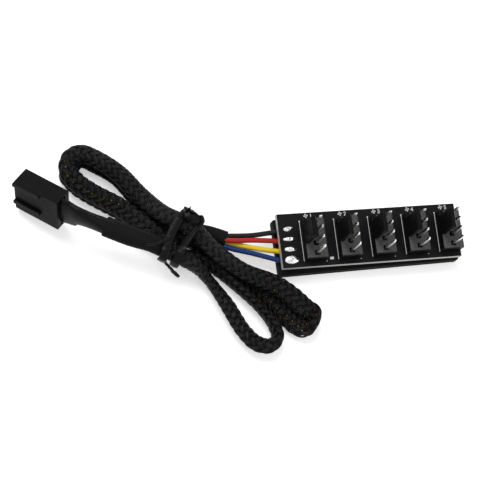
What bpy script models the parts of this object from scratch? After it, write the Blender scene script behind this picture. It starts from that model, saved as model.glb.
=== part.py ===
"""Fan splitter cable: a circuit board on a foam pad with five four-pin fan
headers, four wires into a braided sleeve that is folded and tied, and a
four-pin plug at its end.

Frame: metres, +Z up, origin under the middle of the foam pad, +X along the
board away from the wires, +Y towards the side where the pin 1s are.
"""
import math

import bmesh
import bpy
from mathutils import Matrix, Vector

# Circuit board, held off the foam pad by the wires and the pins' tails
BOARD_LENGTH = 0.0489
BOARD_WIDTH = 0.0144
BOARD_THICK = 0.0016
BOARD_GAP = 0.0018
BOARD_SHIFT_Y = 0.00035

# Foam pad under the board, cut to its size and stuck on slightly askew
PAD_MARGIN = 0.00035
PAD_LENGTH = BOARD_LENGTH + 2 * PAD_MARGIN
PAD_SIDE = 0.0003
PAD_WIDTH = BOARD_WIDTH + 2 * PAD_SIDE
PAD_THICK = 0.0029
PAD_CORNER = 0.0006
PAD_SKEW = math.radians(1.0)
PAD_Z = PAD_THICK
BOARD_Z = PAD_Z + BOARD_GAP
BOARD_TOP = BOARD_Z + BOARD_THICK

# Fan headers
HEADER_COUNT = 5
HEADER_START = 0.00864            # the board's wire end to the first pin row
HEADER_END = 0.00306              # last pin row to the board's other end
HEADER_PITCH = (BOARD_LENGTH - HEADER_START - HEADER_END) / (HEADER_COUNT - 1)
HEADER_SHIFT_Y = -0.0002
PIN_COUNT = 4
PIN_PITCH = 0.00254
PIN_SIZE = 0.00064
PIN_HEIGHT = 0.0114               # tip above the board
PIN_TAPER = 0.0009
BASE_HEIGHT = 0.0032
BASE_BACK = 0.00275               # pin row to the tab's outer face
BASE_FRONT = 0.0030               # pin row to the base's front face
BASE_SLOT = 0.0006                # relief under the base
BASE_CHAMFER = 0.0004
TAB_THICK = 0.0010
TAB_HEIGHT = 0.0112
TAB_WIDTH = 0.0052
TAB_HOOK = 0.0007
SEAT = 0.0003                     # clearance where one piece sits on another
PIN_HOLE = PIN_SIZE * math.sqrt(2) + 2 * SEAT

# Solder, wires and their holes in the board
SOLDER_RADIUS = 0.00095
SOLDER_HEIGHT = 0.0008
WIRE_PITCH = 0.0027
WIRE_ROW_Y = -0.00065
WIRE_ROW_X = 0.00255              # hole row to the board's end
WIRE_DIAMETER = 0.00135
CORE_DIAMETER = 0.0005
JOINT_RADIUS = 0.0009
JOINT_STRETCH = 1.6
JOINT_HEIGHT = 0.0008
WIRE_HOLE = CORE_DIAMETER * JOINT_STRETCH + 2 * SEAT

# Braided sleeve and the shrink tubing at its ends
SLEEVE_WIDTH = 0.0051
SLEEVE_THICK = 0.0030
HUB_SHRINK_LENGTH = 0.0085
PLUG_SHRINK_LENGTH = 0.0142
WIRE_SHRINK_LENGTH = 0.0108
SHRINK_WALL = 0.00022
WIRE_SHRINK_WIDTH = 0.0047
WIRE_SHRINK_THICK = 0.0033
FLARE_WIDTH = 0.0090              # the tubing opens out over the wires at the plug
FLARE_THICK = 0.0028
SEAM = 0.0004                     # clearance where one ends and the next starts

# Wire tie round the bundle
TIE_WIDTH = 0.0022
TIE_THICK = 0.0008
BUNDLE_WAY = Vector((0.87, -0.50, 0.0)).normalized()

# Four-pin plug
PLUG_LENGTH = 0.0129
PLUG_THICK = 0.0051
PLUG_WIDTH = 0.01016
PLUG_CENTRE = Vector((-0.0844, 0.0150, 0.00743))
PLUG_TURN = (math.radians(15.1), math.radians(19.0), math.radians(141.3))
RIB_HEIGHT = 0.0008
RIB_WIDTH = 0.0010
RIB_LENGTH = 0.0078
RIB_CLEARANCE = 0.00015
MATING_WALL = 0.0012
ENTRY_SIZE = 0.0010
CAVITY_WIDTH = 0.0020
CAVITY_HEIGHT = 0.0022
WINDOW_LENGTH = 0.0024
WINDOW_WIDTH = 0.0013
WINDOW_START = 0.0036             # mating face to the window
TERMINAL_LENGTH = 0.0062
TERMINAL_BORE = 0.0009
WIRE_DEPTH = 0.0032               # how far each wire goes into the plug
WIRE_BARE = 0.0009                # and how much of it shows behind the plug

TAB_CENTRE = PIN_PITCH / 2        # the tab stands beside pin 2

# Points along the sleeve from the hub's end to the plug's end, in millimetres:
# x, y, z, roll in degrees (0 lies flat, 90 stands on edge) and scale. It runs
# through the tie five times, round two loops by the plug and two by the board.
ROUTE = [
    (-38.1, 2.2, 3.9, 20, 0.85),
    (-42.9, 4.2, 3.9, 45, 0.87),
    (-47.6, 5.9, 3.9, 85, 0.93),
    (-53.5, 10.2, 3.1, 68, 1.0),
    (-58.8, 14.7, 2.0, 23, 1.0),
    (-63.8, 21.2, 1.75, 0, 1.0),
    (-69.0, 24.9, 1.75, 0, 1.0),
    (-72.9, 26.8, 1.75, 0, 1.0),
    (-75.8, 25.0, 1.75, 0, 1.0),
    (-76.5, 22.4, 1.75, 0, 1.0),
    (-74.7, 19.7, 1.75, -8, 1.0),
    (-71.0, 16.7, 1.75, 0, 1.0),
    (-64.5, 12.4, 1.75, 8, 1.0),
    (-57.1, 7.4, 2.3, -22, 1.0),
    (-49.7, 3.2, 3.9, -80, 0.95),
    (-40.6, -1.1, 2.9, -70, 1.0),
    (-35.2, -5.6, 2.0, -33, 1.0),
    (-30.3, -10.2, 1.75, -8, 1.0),
    (-26.1, -15.3, 1.8, -15, 1.0),
    (-23.1, -20.2, 2.1, -9, 1.0),
    (-20.7, -22.0, 2.7, -15, 1.0),
    (-18.2, -21.2, 3.0, 73, 1.0),
    (-17.2, -18.8, 3.4, 72, 1.0),
    (-19.4, -17.1, 4.4, 17, 1.0),
    (-22.5, -13.9, 5.2, 24, 1.0),
    (-27.0, -10.6, 5.3, 10, 1.0),
    (-34.8, -6.7, 5.7, -19, 1.0),
    (-41.6, -1.5, 7.3, -22, 1.0),
    (-48.1, 5.4, 8.3, -8, 0.95),
    (-54.4, 9.5, 7.2, -8, 1.0),
    (-59.3, 14.9, 5.6, 0, 1.0),
    (-64.1, 21.2, 5.15, -8, 1.0),
    (-69.5, 25.5, 5.15, -14, 1.0),
    (-73.1, 26.9, 5.15, 0, 1.0),
    (-75.9, 25.6, 5.15, 17, 1.0),
    (-76.5, 22.6, 5.15, -6, 1.0),
    (-75.1, 19.6, 5.15, -14, 1.0),
    (-71.3, 16.5, 5.15, -28, 1.0),
    (-64.5, 12.1, 5.15, -22, 1.0),
    (-58.1, 6.1, 5.3, -25, 1.0),
    (-51.7, 0.3, 3.9, -93, 0.95),
    (-46.5, -1.6, 3.2, -79, 1.0),
    (-42.2, -4.0, 2.75, -72, 1.0),
    (-36.1, -10.0, 2.75, -92, 1.0),
    (-30.5, -16.4, 2.75, -96, 1.0),
    (-27.7, -21.1, 2.75, -79, 1.0),
    (-27.4, -24.2, 2.75, -76, 1.0),
    (-29.7, -25.9, 2.75, -42, 1.0),
    (-32.9, -25.1, 2.75, -28, 1.0),
    (-35.9, -21.7, 2.75, -31, 1.0),
    (-39.8, -13.8, 2.75, -39, 1.0),
    (-44.2, -6.8, 3.1, -85, 1.0),
    (-47.8, -4.1, 6.4, -121, 0.92),
    (-57.3, 1.1, 8.9, -180, 0.88),
    (-63.8, 3.7, 9.4, -174, 0.93),
    (-70.9, 7.0, 10.0, -177, 0.95),
    (-76.3, 9.2, 10.87, -188, 0.93),
    (-78.0, 10.3, 9.99, -195, 0.93),
]

# Where the four wires leave the shrink tubing at the hub's end, one point on the
# way, and how far off its hole's row each goes in under the board, in millimetres.
HUB_WIRES = [
    ("black", (-37.2, 3.25, 4.00), (-31.0, 3.0, 4.0), 0.0),
    ("red", (-37.8, 1.95, 4.75), (-31.0, 1.6, 4.3), 0.5),
    ("yellow", (-38.0, 1.85, 3.20), (-31.0, -0.3, 3.7), 0.5),
    ("blue", (-38.5, 0.60, 3.80), (-31.0, -1.9, 3.9), 1.0),
]

# Points along the tie, in millimetres, with its lean in degrees (0 lies flat on
# the bundle) and a scale for its width: from the short end on the far side across
# the top, round under the bundle, across again and out at the near side.
TIE_ROUTE = [
    (-49.3, 9.6, 11.0, 0, 0.7), (-48.4, 9.0, 11.4, 20, 0.8), (-46.9, 8.1, 11.0, 30, 1.0),
    (-45.7, 7.1, 10.4, 40, 1.0), (-45.4, 5.6, 10.5, 50, 1.0), (-47.7, 3.4, 11.0, 50, 1.0),
    (-50.1, 0.5, 10.7, 40, 1.0), (-51.8, -2.2, 10.2, 10, 1.0), (-52.8, -4.2, 7.7, 0, 1.0),
    (-52.4, -3.3, 4.0, 0, 1.0), (-51.7, -2.3, 1.4, 0, 1.0), (-51.0, -0.8, 0.6, 0, 1.0),
    (-50.0, 2.0, 0.6, 0, 1.0), (-49.3, 5.2, 0.6, 0, 1.0), (-48.3, 8.0, 0.6, 0, 1.0),
    (-47.4, 9.7, 2.2, 0, 1.0), (-47.3, 10.0, 5.0, 0, 1.0), (-48.1, 9.6, 8.1, 0, 1.0),
    (-49.9, 7.9, 10.0, 0, 1.0), (-51.7, 5.8, 10.4, 0, 1.0), (-53.4, 3.1, 10.5, 0, 1.0),
    (-54.7, 0.3, 10.9, 0, 1.0), (-55.9, -2.7, 9.8, 0, 1.0), (-55.9, -2.5, 6.3, 0, 1.0),
    (-54.8, -2.1, 4.2, 30, 0.9), (-53.4, -3.5, 2.8, 60, 0.8), (-51.0, -6.3, 2.2, 60, 0.6),
]

for old in list(bpy.data.objects):
    bpy.data.objects.remove(old, do_unlink=True)

MODEL = bpy.data.collections.new("Fan Splitter Cable")
CUTTERS = bpy.data.collections.new("Cutters and guides")
for made in (MODEL, CUTTERS):
    bpy.context.scene.collection.children.link(made)


def finish(name, colour, roughness, metallic=0.0):
    """A plain material with the piece's colour, roughness and metallic value."""
    made = bpy.data.materials.get(name)
    if made:
        return made
    made = bpy.data.materials.new(name)
    made.use_nodes = True
    shader = made.node_tree.nodes["Principled BSDF"]
    shader.inputs["Base Color"].default_value = (*colour, 1.0)
    shader.inputs["Roughness"].default_value = roughness
    shader.inputs["Metallic"].default_value = metallic
    return made


FOAM = finish("black_foam", (0.012, 0.012, 0.013), 0.95)
SOLDER_MASK = finish("black_solder_mask", (0.010, 0.010, 0.012), 0.45)
NYLON = finish("black_nylon", (0.014, 0.014, 0.015), 0.42)
TINNED = finish("tinned_brass", (0.80, 0.78, 0.72), 0.25, 1.0)
SOLDER = finish("solder", (0.75, 0.75, 0.76), 0.22, 1.0)
BRAID = finish("black_braid", (0.013, 0.013, 0.014), 0.55)
SHRINK = finish("black_shrink", (0.014, 0.014, 0.015), 0.38)
TIE_PLASTIC = finish("black_tie", (0.016, 0.016, 0.017), 0.35)
WIRE_COLOURS = {
    "black": finish("wire_black", (0.012, 0.012, 0.012), 0.35),
    "red": finish("wire_red", (0.62, 0.02, 0.015), 0.35),
    "yellow": finish("wire_yellow", (0.80, 0.52, 0.02), 0.35),
    "blue": finish("wire_blue", (0.02, 0.08, 0.42), 0.35),
}


def as_object(name, data, home=MODEL, colour=None):
    """Puts a mesh or curve in its collection under the name of its piece."""
    made = bpy.data.objects.new(name, data)
    home.objects.link(made)
    if colour and not data.materials:
        data.materials.append(colour)
    if home is CUTTERS:
        made.hide_render = True
        made.display_type = "WIRE"
    return made


def baked(obj, name):
    """The object's evaluated mesh with its loose caps welded."""
    bpy.context.view_layer.update()
    graph = bpy.context.evaluated_depsgraph_get()
    mesh = bpy.data.meshes.new_from_object(obj.evaluated_get(graph))
    mesh.name = name
    work = bmesh.new()
    work.from_mesh(mesh)
    bmesh.ops.remove_doubles(work, verts=work.verts, dist=0.000001)
    bmesh.ops.recalc_face_normals(work, faces=work.faces)
    work.to_mesh(mesh)
    work.free()
    mesh.transform(obj.matrix_world)
    return mesh


def box_mesh(name, size, centre=(0, 0, 0)):
    """A box of the given size about its centre."""
    work = bmesh.new()
    bmesh.ops.create_cube(work, size=1.0)
    bmesh.ops.scale(work, vec=size, verts=work.verts)
    bmesh.ops.translate(work, vec=centre, verts=work.verts)
    mesh = bpy.data.meshes.new(name)
    work.to_mesh(mesh)
    work.free()
    return mesh


def column_mesh(name, sections):
    """A square column whose half width changes with height."""
    work = bmesh.new()
    bmesh.ops.create_cube(work, size=1.0)
    low, high = sections[0], sections[1]
    for vert in work.verts:
        place = low if vert.co.z < 0 else high
        side = math.copysign(place[1], vert.co.x), math.copysign(place[1], vert.co.y)
        vert.co = (*side, place[0])
    for height, half in sections[2:]:
        top = max(work.faces, key=lambda face: face.calc_center_median().z)
        grown = bmesh.ops.extrude_discrete_faces(work, faces=[top])["faces"][0]
        for vert in grown.verts:
            vert.co = (math.copysign(half, vert.co.x), math.copysign(half, vert.co.y), height)
    mesh = bpy.data.meshes.new(name)
    work.to_mesh(mesh)
    work.free()
    return mesh


def outline_mesh(name, points, depth):
    """A flat outline in X and Z, as a filled curve extruded along Y."""
    data = bpy.data.curves.new(name, "CURVE")
    data.dimensions = "2D"
    data.fill_mode = "BOTH"
    data.extrude = depth / 2
    data.resolution_u = 1
    line = data.splines.new("POLY")
    line.points.add(len(points) - 1)
    for point, (x, z) in zip(line.points, points):
        point.co = (x, z, 0.0, 1.0)
    line.use_cyclic_u = True
    shape = as_object(name, data, CUTTERS)
    shape.rotation_euler = (math.pi / 2, 0, 0)
    mesh = baked(shape, name)
    bpy.data.objects.remove(shape, do_unlink=True)
    return mesh


def boolean(target, tool_mesh, kind):
    """Cuts a mesh from a piece, or joins it on."""
    tool = as_object(target.name + "_" + kind.lower(), tool_mesh, CUTTERS)
    tool.parent = target
    step = target.modifiers.new(kind.title(), "BOOLEAN")
    step.operation = kind
    step.solver = "EXACT"
    step.object = tool


def many(name, meshes):
    """Several separate closed shapes in one mesh, for a single cut."""
    work = bmesh.new()
    for mesh in meshes:
        work.from_mesh(mesh)
    merged = bpy.data.meshes.new(name)
    work.to_mesh(merged)
    work.free()
    return merged


def drill(places, diameter, low, high, sides):
    """Round cutters standing through the board at the given places."""
    shapes = []
    for x, y in places:
        work = bmesh.new()
        middle = Matrix.Translation((x, y, (low + high) / 2))
        bmesh.ops.create_cone(work, cap_ends=True, segments=sides, radius1=diameter / 2,
                              radius2=diameter / 2, depth=high - low, matrix=middle)
        mesh = bpy.data.meshes.new("drill")
        work.to_mesh(mesh)
        work.free()
        shapes.append(mesh)
    return many("drills", shapes)


def turned(name, profile, sides, colour, home=MODEL):
    """A profile of radius and height, from top to bottom, turned about Z."""
    mesh = bpy.data.meshes.new(name)
    verts = [(radius, 0.0, height) for radius, height in profile]
    mesh.from_pydata(verts, [(k, k + 1) for k in range(len(verts) - 1)], [])
    made = as_object(name, mesh, home, colour)
    screw = made.modifiers.new("Turn", "SCREW")
    screw.steps = sides
    screw.render_steps = sides
    screw.use_merge_vertices = True
    screw.merge_threshold = 0.00001
    screw.use_normal_calculate = True
    return made


def smooth_path(points, steps=12):
    """A smooth curve through the points, sampled evenly between each two."""
    pts = [Vector(p) for p in points]
    pts = [pts[0] * 2 - pts[1]] + pts + [pts[-1] * 2 - pts[-2]]
    out = []
    for a, b, c, d in zip(pts, pts[1:], pts[2:], pts[3:]):
        t1 = math.sqrt((b - a)[:3] and Vector((b - a)[:3]).length)
        t2 = t1 + math.sqrt(Vector((c - b)[:3]).length)
        t3 = t2 + math.sqrt(Vector((d - c)[:3]).length)
        for k in range(steps):
            t = t1 + (t2 - t1) * k / steps
            ab = a * ((t1 - t) / t1) + b * (t / t1)
            bc = b * ((t2 - t) / (t2 - t1)) + c * ((t - t1) / (t2 - t1))
            cd = c * ((t3 - t) / (t3 - t2)) + d * ((t - t2) / (t3 - t2))
            first = ab * ((t2 - t) / t2) + bc * (t / t2)
            second = bc * ((t3 - t) / (t3 - t1)) + cd * ((t - t1) / (t3 - t1))
            out.append(first * ((t2 - t) / (t2 - t1)) + second * ((t - t1) / (t2 - t1)))
    out.append(pts[-2])
    return out


def place(point):
    """The X, Y and Z of a path point."""
    return Vector(point[:3])


def path_length(path):
    """Length along a path."""
    return sum((place(b) - place(a)).length for a, b in zip(path, path[1:]))


def stretch(path, start, end):
    """The part of a path between two distances along it."""
    out = []
    walked = 0.0
    for a, b in zip(path, path[1:]):
        step = (place(b) - place(a)).length
        if walked <= start < walked + step:
            out.append(a.lerp(b, (start - walked) / step))
        if start < walked + step < end:
            out.append(b)
        if walked < end <= walked + step:
            out.append(a.lerp(b, (end - walked) / step))
        walked += step
    return out


def thinned(path, reach, turn):
    """Fewer points: far apart on straight runs and closer round the bends."""
    out = [path[0]]
    spent = 0.0
    for a, b, c in zip(path, path[1:], path[2:]):
        before = place(b) - place(a)
        after = place(c) - place(b)
        spent += before.length / reach + before.angle(after) / turn
        if spent >= 1.0:
            out.append(b)
            spent = 0.0
    out.append(path[-1])
    return out


def oval_ring(name, width, thick, sides=12):
    """The closed outline that an oval cord is swept with."""
    data = bpy.data.curves.new(name, "CURVE")
    data.dimensions = "2D"
    line = data.splines.new("POLY")
    line.points.add(sides - 1)
    for k, point in enumerate(line.points):
        angle = -2 * math.pi * k / sides
        point.co = (math.cos(angle) * width / 2, math.sin(angle) * thick / 2, 0.0, 1.0)
    line.use_cyclic_u = True
    return as_object(name, data, CUTTERS)


def cord(name, path, colour, diameter=None, ring=None, sides=2):
    """A tube along a path, round or swept with an oval outline."""
    data = bpy.data.curves.new(name, "CURVE")
    data.dimensions = "3D"
    data.use_fill_caps = True
    data.resolution_u = 1
    data.twist_mode = "Z_UP" if ring else "MINIMUM"
    if ring:
        data.bevel_mode = "OBJECT"
        data.bevel_object = ring
    else:
        data.bevel_depth = diameter / 2
        data.bevel_resolution = sides
    line = data.splines.new("POLY")
    line.points.add(len(path) - 1)
    for point, at in zip(line.points, path):
        point.co = (*at[:3], 1.0)
        if ring:
            point.tilt = -math.radians(at[3])
            point.radius = at[4]
    return as_object(name, data, MODEL, colour)


def header_x(index):
    """Where a header's pin row stands along the board."""
    return BOARD_LENGTH / 2 - HEADER_END - (HEADER_COUNT - 1 - index) * HEADER_PITCH


def pin_y(number):
    """Where pin 1 to 4 stands along its row."""
    return HEADER_SHIFT_Y + ((PIN_COUNT + 1) / 2 - number) * PIN_PITCH


def wire_y(index):
    """Where a wire's hole lies across the board."""
    return WIRE_ROW_Y + (1.5 - index) * WIRE_PITCH


def make_pad():
    """The foam pad, with rounded corners."""
    mesh = box_mesh("backing_pad", (PAD_LENGTH, PAD_WIDTH, PAD_THICK))
    work = bmesh.new()
    work.from_mesh(mesh)
    upright = [e for e in work.edges if abs(e.verts[0].co.z - e.verts[1].co.z) > PAD_THICK / 2]
    bmesh.ops.bevel(work, geom=upright, offset=PAD_CORNER, segments=4, profile=0.5,
                    affect="EDGES")
    work.to_mesh(mesh)
    work.free()
    pad = as_object("backing_pad", mesh, MODEL, FOAM)
    pad.location.z = PAD_THICK / 2
    pad.rotation_euler.z = PAD_SKEW


def make_board():
    """The circuit board with a hole for each pin and each wire."""
    mesh = box_mesh("circuit_board", (BOARD_LENGTH, BOARD_WIDTH, BOARD_THICK))
    board = as_object("circuit_board", mesh, MODEL, SOLDER_MASK)
    board.location = (0, BOARD_SHIFT_Y, BOARD_Z + BOARD_THICK / 2)
    pins = [(header_x(k), pin_y(n) - BOARD_SHIFT_Y)
            for k in range(HEADER_COUNT) for n in range(1, PIN_COUNT + 1)]
    wires = [(-BOARD_LENGTH / 2 + WIRE_ROW_X, wire_y(k) - BOARD_SHIFT_Y) for k in range(4)]
    reach = BOARD_THICK
    holes = many("board_holes", [drill(pins, PIN_HOLE, -reach, reach, 8),
                                 drill(wires, WIRE_HOLE, -reach, reach, 10)])
    boolean(board, holes, "DIFFERENCE")


def header_mesh():
    """One header's moulding: a base on two feet and a lock tab with a hook."""
    back = -BASE_BACK
    front = BASE_FRONT
    cut = BASE_CHAMFER
    foot = TAB_THICK * 1.2
    base = [(back, 0), (back + foot, 0), (back + foot + cut, BASE_SLOT),
            (front - foot - cut, BASE_SLOT), (front - foot, 0), (front, 0),
            (front, BASE_HEIGHT - cut), (front - cut, BASE_HEIGHT), (back, BASE_HEIGHT)]
    inner = back + TAB_THICK
    tab = [(back, BASE_HEIGHT / 2), (inner, BASE_HEIGHT / 2),
           (inner, TAB_HEIGHT - 3.2 * TAB_HOOK), (inner + TAB_HOOK, TAB_HEIGHT - 2 * TAB_HOOK),
           (inner, TAB_HEIGHT), (back + cut, TAB_HEIGHT), (back, TAB_HEIGHT - cut)]
    body = as_object("header_body", outline_mesh("header_body", base, PIN_COUNT * PIN_PITCH), CUTTERS)
    tab_shape = outline_mesh("header_tab", tab, TAB_WIDTH)
    tab_shape.transform(Matrix.Translation((0, TAB_CENTRE, 0)))
    boolean(body, tab_shape, "UNION")
    holes = []
    for number in range(1, PIN_COUNT + 1):
        y = pin_y(number) - HEADER_SHIFT_Y
        side = PIN_SIZE + 2 * SEAT
        holes.append(box_mesh("pin_way", (side, side, 3 * BASE_HEIGHT), (0, y, BASE_HEIGHT / 2)))
    boolean(body, many("pin_ways", holes), "DIFFERENCE")
    mesh = baked(body, "header_base")
    for child in list(body.children):
        bpy.data.objects.remove(child, do_unlink=True)
    bpy.data.objects.remove(body, do_unlink=True)
    mesh.materials.clear()
    mesh.materials.append(NYLON)
    return mesh


def pin_mesh():
    """A square pin with tapered ends and its solder under the board."""
    half = PIN_SIZE / 2
    low = -(BOARD_THICK + BOARD_GAP) + SEAT
    sections = [(low, half * 0.7), (low + half, half), (PIN_HEIGHT - PIN_TAPER, half),
                (PIN_HEIGHT, half * 0.45)]
    pin = as_object("pin_body", column_mesh("pin_body", sections), CUTTERS)
    cone = bmesh.new()
    top = -BOARD_THICK - SEAT
    centre = Matrix.Translation((0, 0, top - SOLDER_HEIGHT / 2))
    bmesh.ops.create_cone(cone, cap_ends=True, segments=10, radius1=PIN_SIZE * 0.65,
                          radius2=SOLDER_RADIUS, depth=SOLDER_HEIGHT, matrix=centre)
    solder = bpy.data.meshes.new("pin_solder")
    cone.to_mesh(solder)
    cone.free()
    boolean(pin, solder, "UNION")
    mesh = baked(pin, "header_pin")
    for child in list(pin.children):
        bpy.data.objects.remove(child, do_unlink=True)
    bpy.data.objects.remove(pin, do_unlink=True)
    mesh.materials.clear()
    mesh.materials.append(TINNED)
    return mesh


def make_headers():
    """Five headers of four pins each."""
    base = header_mesh()
    pin = pin_mesh()
    for k in range(HEADER_COUNT):
        body = as_object("header_%d_base" % (k + 1), base)
        body.location = (header_x(k), HEADER_SHIFT_Y, BOARD_TOP + SEAT)
        for number in range(1, PIN_COUNT + 1):
            made = as_object("header_%d_pin_%d" % (k + 1, number), pin)
            made.location = (header_x(k), pin_y(number), BOARD_TOP)


def make_joints():
    """The domes of solder over the wires' bared ends, each down its hole."""
    stem = CORE_DIAMETER / 2
    low = -BOARD_THICK + 0.0002
    for k, (name, _, _, _) in enumerate(HUB_WIRES):
        profile = [(0.0, JOINT_HEIGHT + SEAT), (stem, JOINT_HEIGHT + SEAT),
                   (stem * 1.3, JOINT_HEIGHT * 0.8 + SEAT),
                   (JOINT_RADIUS * 0.7, JOINT_HEIGHT * 0.45 + SEAT),
                   (JOINT_RADIUS, SEAT + 0.0001), (JOINT_RADIUS, SEAT),
                   (stem, SEAT), (stem, low), (0.0, low)]
        shape = turned("joint_shape", profile, 14, SOLDER, CUTTERS)
        mesh = baked(shape, "solder_joint_" + name)
        bpy.data.objects.remove(shape, do_unlink=True)
        mesh.transform(Matrix.Diagonal((JOINT_STRETCH, 1.0, 1.0, 1.0)))
        joint = as_object("solder_joint_" + name, mesh, MODEL, SOLDER)
        joint.location = (-BOARD_LENGTH / 2 + WIRE_ROW_X, wire_y(k), BOARD_TOP)


def make_hub_wires():
    """Four wires from the shrink tubing, in under the board to their holes."""
    inside = PAD_Z + BOARD_GAP / 2
    edge = -BOARD_LENGTH / 2
    for k, (name, start, middle, aside) in enumerate(HUB_WIRES):
        y = wire_y(k)
        end = edge + WIRE_ROW_X - CORE_DIAMETER
        points = [Vector(start) / 1000, Vector(middle) / 1000,
                  Vector((edge - 0.0012, y + aside / 1000, inside)),
                  Vector((edge + 0.0004, y + aside / 2000, inside)),
                  Vector((end, y, inside))]
        path = thinned(smooth_path(points, 8), WIRE_DIAMETER * 1.6, math.radians(20))
        cord("hub_wire_" + name, path, WIRE_COLOURS[name], diameter=WIRE_DIAMETER)


def in_metres(point, grow=0.0):
    """A chosen point in metres; shrink tubing is swept a little larger."""
    x, y, z, roll, scale = point
    return Vector((x / 1000, y / 1000, z / 1000, roll, scale * (1 + grow)))


def lofted(name, rings, colour):
    """A closed skin over rings of points, one after another."""
    work = bmesh.new()
    rows = [[work.verts.new(point) for point in ring] for ring in rings]
    for one, two in zip(rows, rows[1:]):
        for k in range(len(one)):
            after = (k + 1) % len(one)
            work.faces.new((one[k], one[after], two[after], two[k]))
    work.faces.new(rows[0])
    work.faces.new(rows[-1])
    bmesh.ops.recalc_face_normals(work, faces=work.faces)
    mesh = bpy.data.meshes.new(name)
    work.to_mesh(mesh)
    work.free()
    return as_object(name, mesh, MODEL, colour)


def headings(path):
    """The direction at each point of a path."""
    spots = [place(point) for point in path]
    ends = zip([spots[0]] + spots, spots[1:] + [spots[-1]])
    found = [(b - a) for a, b in ends]
    return [(a + b).normalized() for a, b in zip(found, found[1:] + [found[-1]])]


def make_flared(name, path, colour, sides=16):
    """Shrink tubing over the wires, round at first and tall at the plug."""
    total = path_length(path)
    walked = 0.0
    rings = []
    for k, (point, way) in enumerate(zip(path, headings(path))):
        walked += (place(point) - place(path[k - 1])).length if k else 0.0
        share = walked / total
        roll = math.radians(point[3])
        across = way.cross(Vector((0, 0, 1))).normalized()
        rise = across.cross(way)
        wide = across * math.cos(roll) + rise * math.sin(roll)
        tall = rise * math.cos(roll) - across * math.sin(roll)
        half_wide = (WIRE_SHRINK_WIDTH * point[4] * (1 - share) + FLARE_THICK * share) / 2
        half_tall = (WIRE_SHRINK_THICK * point[4] * (1 - share) + FLARE_WIDTH * share) / 2
        turns = [2 * math.pi * n / sides for n in range(sides)]
        rings.append([place(point) + wide * math.cos(a) * half_wide
                      + tall * math.sin(a) * half_tall for a in turns])
    lofted(name, rings, colour)


def make_sleeve():
    """The braided sleeve and the shrink tubing at its ends, end to end."""
    path = smooth_path([in_metres(point) for point in ROUTE])
    total = path_length(path)
    thick_start = total - WIRE_SHRINK_LENGTH - PLUG_SHRINK_LENGTH
    thin_start = total - WIRE_SHRINK_LENGTH
    sleeve = (SLEEVE_WIDTH, SLEEVE_THICK)
    over = (SLEEVE_WIDTH + 2 * SHRINK_WALL, SLEEVE_THICK + 2 * SHRINK_WALL)
    pieces = [
        ("hub_heat_shrink", 0.0, HUB_SHRINK_LENGTH - SEAM, SHRINK, over),
        ("braided_sleeve", HUB_SHRINK_LENGTH, thick_start - SEAM, BRAID, sleeve),
        ("sleeve_heat_shrink", thick_start, thin_start - SEAM, SHRINK, over),
    ]
    for name, start, end, colour, size in pieces:
        ring = oval_ring(name + "_outline", *size)
        part = thinned(stretch(path, start, end), 0.0085, math.radians(16))
        cord(name, part, colour, ring=ring)
    part = thinned(stretch(path, thin_start, total), 0.0022, math.radians(25))
    make_flared("wire_heat_shrink", part, SHRINK)


def make_tie():
    """The flat plastic-coated tie wound round the bundle, both ends left free."""
    chosen = [Vector((x / 1000, y / 1000, z / 1000, lean, scale))
              for x, y, z, lean, scale in TIE_ROUTE]
    path = smooth_path(chosen, 4)
    rings = []
    for point, way in zip(path, headings(path)):
        lean = math.radians(point[3])
        along = (BUNDLE_WAY - way * way.dot(BUNDLE_WAY)).normalized()
        out = way.cross(along)
        wide = along * math.cos(lean) + out * math.sin(lean)
        flat = out * math.cos(lean) - along * math.sin(lean)
        a = TIE_WIDTH * point[4] / 2
        b = TIE_THICK / 2
        c = TIE_THICK * 0.3
        corners = [(a, b - c), (a - c, b), (c - a, b), (-a, b - c),
                   (-a, c - b), (c - a, -b), (a - c, -b), (a, c - b)]
        rings.append([place(point) + wide * x + flat * y for x, y in corners])
    lofted("cable_tie", rings, TIE_PLASTIC)


def plug_cavity_z(index):
    """Where a cavity lies across the plug's width."""
    return (1.5 - index) * PIN_PITCH


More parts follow.
